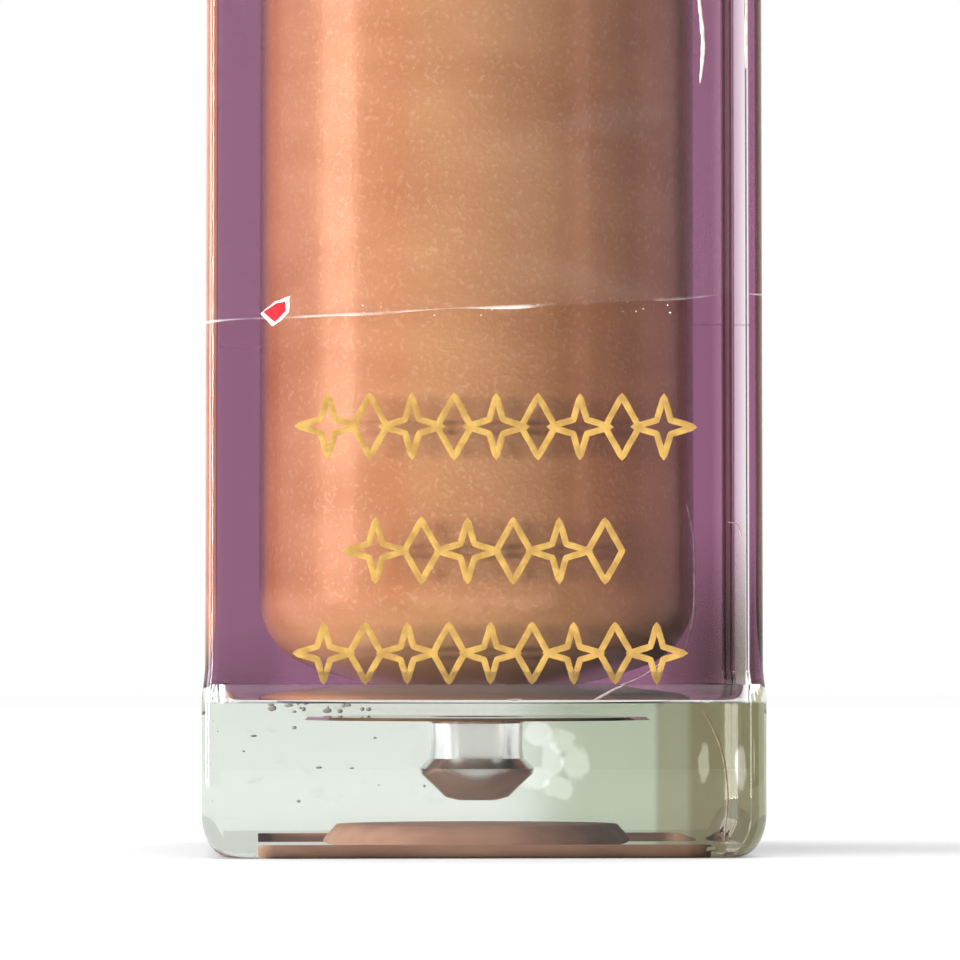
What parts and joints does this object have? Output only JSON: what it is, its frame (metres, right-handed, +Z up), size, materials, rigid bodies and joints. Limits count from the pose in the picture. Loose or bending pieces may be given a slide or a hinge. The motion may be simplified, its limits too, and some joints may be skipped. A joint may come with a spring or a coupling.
{
  "type": "lip gloss tube",
  "caption": "Square clear lip gloss tube with a thick base, a tinted inner vial of pearly gloss, and a screw cap that carries a flocked applicator.",
  "frame": {"origin": "middle of the underside of the base", "axes": "+Z up the tube towards the cap, -Y out of the printed front"},
  "size_m": [0.018, 0.018, 0.1043],
  "materials": {
    "clear_plastic": "polished clear plastic",
    "tinted_plastic": "polished, mauve tint",
    "gloss": "pearly copper-gold liquid",
    "frosted_plastic": "frosted",
    "gold_metal": "polished gold",
    "soft_plastic": "soft, matt",
    "label": "matt copper brown",
    "film": "clear film",
    "cap_plastic": "plated, satin gold",
    "steel": "turned",
    "flock": "short flock"
  },
  "bodies": {
    "bottle": {"outer_jacket": "clear_plastic", "inner_vial": "tinted_plastic", "gloss_fill": "gloss", "threaded_neck": "frosted_plastic", "collar": "gold_metal", "wiper": "soft_plastic", "base_label": "label", "clear_film": "film"},
    "washer": {"seal_washer": "soft_plastic"},
    "weight": {"cap_weight": "steel"},
    "cap": {"cap_shell": "cap_plastic", "inner_cap": "frosted_plastic", "stem": "frosted_plastic", "applicator_tip": "flock"}
  },
  "joints": [
    {"name": "wand_pull", "type": "slide", "parent": "bottle", "child": "washer", "axis": [0, 0, 1], "range_m": [0, 0.06]},
    {"name": "thread_lift", "type": "slide", "parent": "washer", "child": "weight", "axis": [0, 0, 1], "range_m": [0, 0.0036]},
    {"name": "cap_unscrew", "type": "hinge", "parent": "weight", "child": "cap", "pos_m": [0, 0, 0], "axis": [0, 0, 1], "range_deg": [0, 540]}
  ],
  "couplings": [
    {"joint": "thread_lift", "follows": "cap_unscrew", "m_per_rad": 0.00038197}
  ]
}
